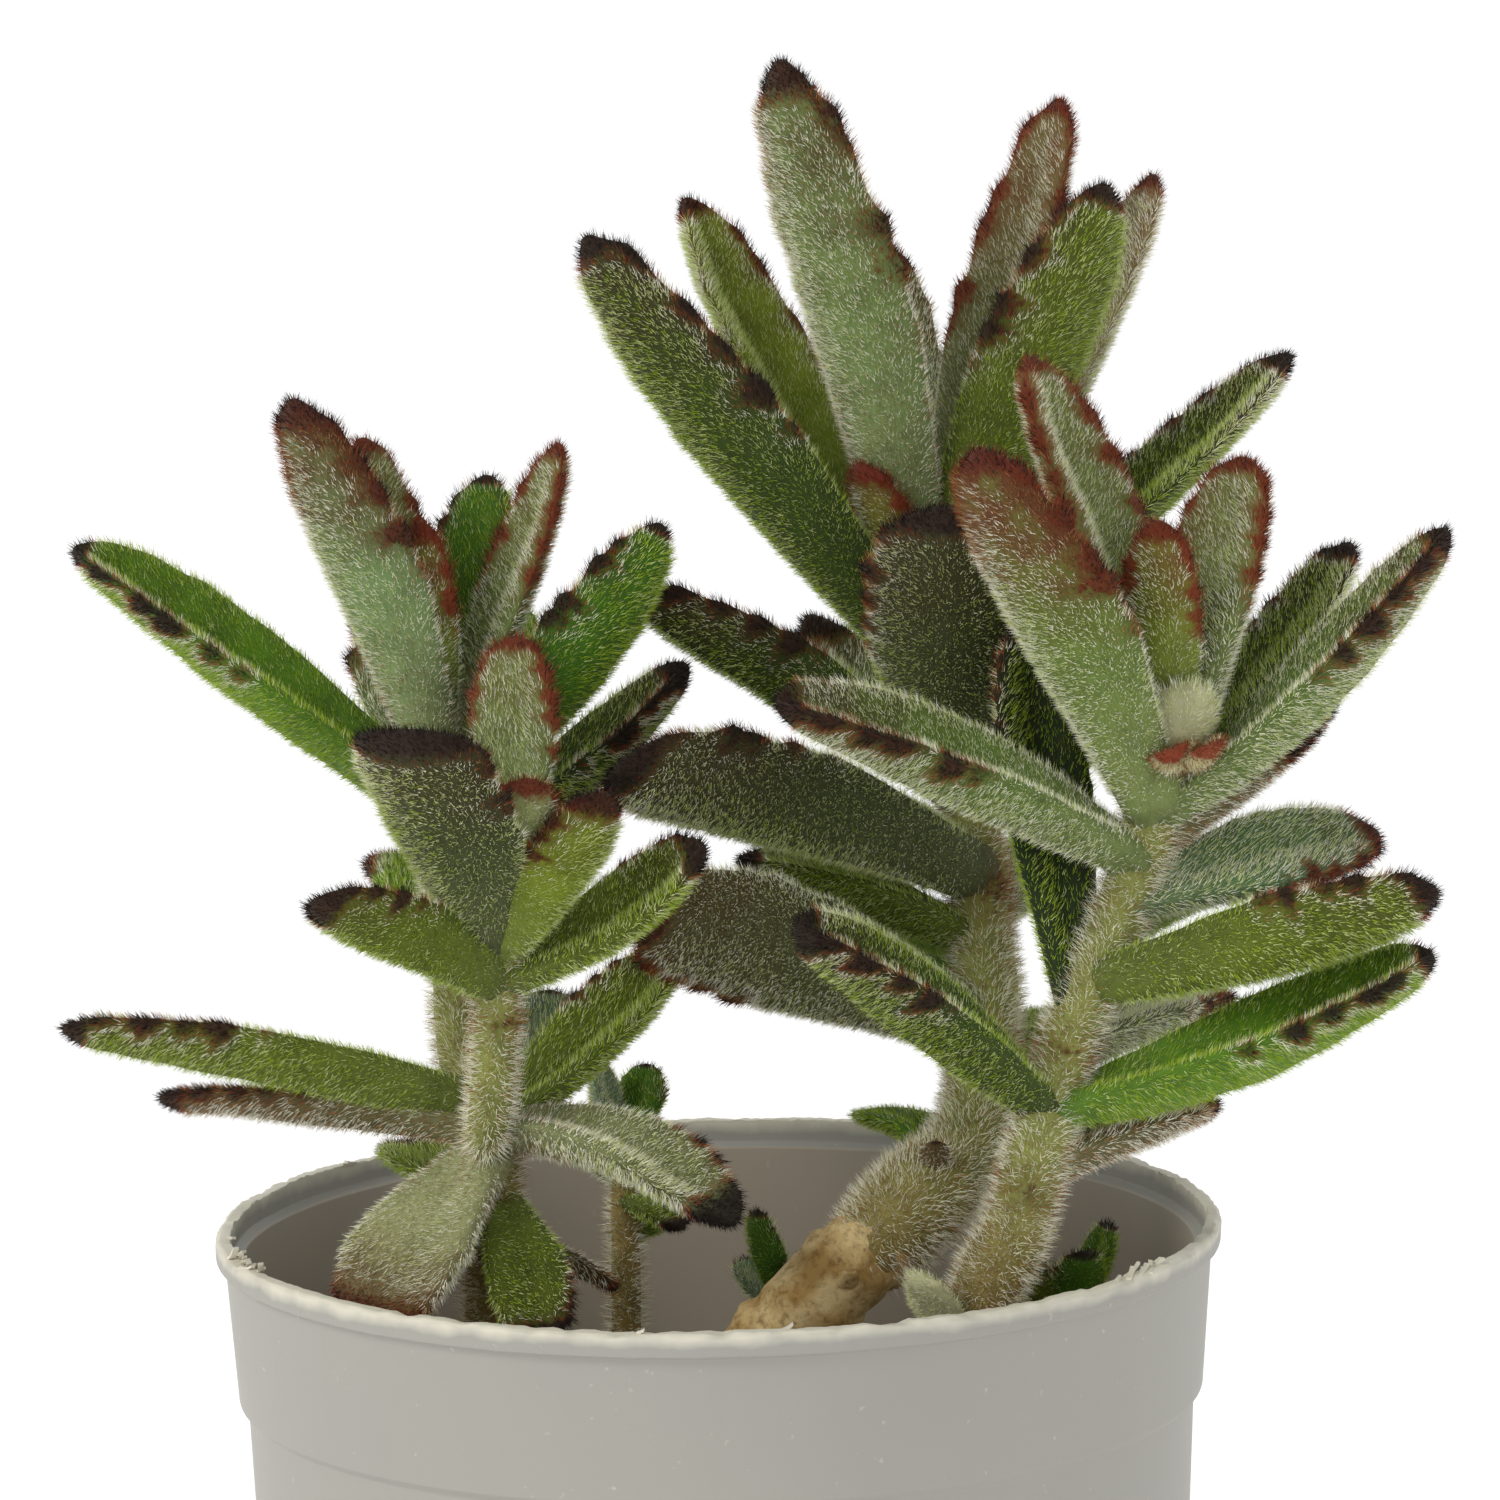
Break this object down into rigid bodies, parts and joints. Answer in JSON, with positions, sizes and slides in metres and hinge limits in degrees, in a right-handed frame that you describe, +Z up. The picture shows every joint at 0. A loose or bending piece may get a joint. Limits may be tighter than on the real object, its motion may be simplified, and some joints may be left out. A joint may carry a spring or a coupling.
{
  "type": "panda plant in a nursery pot",
  "caption": "Furry-leaved panda plant with upright leafy stems and a bare woody trunk, growing in a round off-white plastic pot filled with soil.",
  "frame": {"origin": "centre of the pot's flat underside", "axes": "+Z up through the plant, -Y towards the side that is looked at, +X to its right"},
  "size_m": [0.1336, 0.1002, 0.207],
  "materials": {
    "pot": "matt off-white moulded plastic, a little scuffed and dusty",
    "soil": "loose dark potting mix of bark and peat",
    "bark": "dry corky orange-brown bark with leaf scars",
    "leaf": "green succulent skin under dense short pale hairs, dark brown at the toothed tips"
  },
  "bodies": {
    "root": {"pot": "pot", "soil": "soil", "woody_trunk": "bark", "left_back_shoot": "leaf", "left_front_shoot": "leaf", "right_back_shoot": "leaf", "right_front_shoot": "leaf", "back_offset": "leaf", "middle_offset": "leaf", "right_offset": "leaf"}
  },
  "joints": []
}
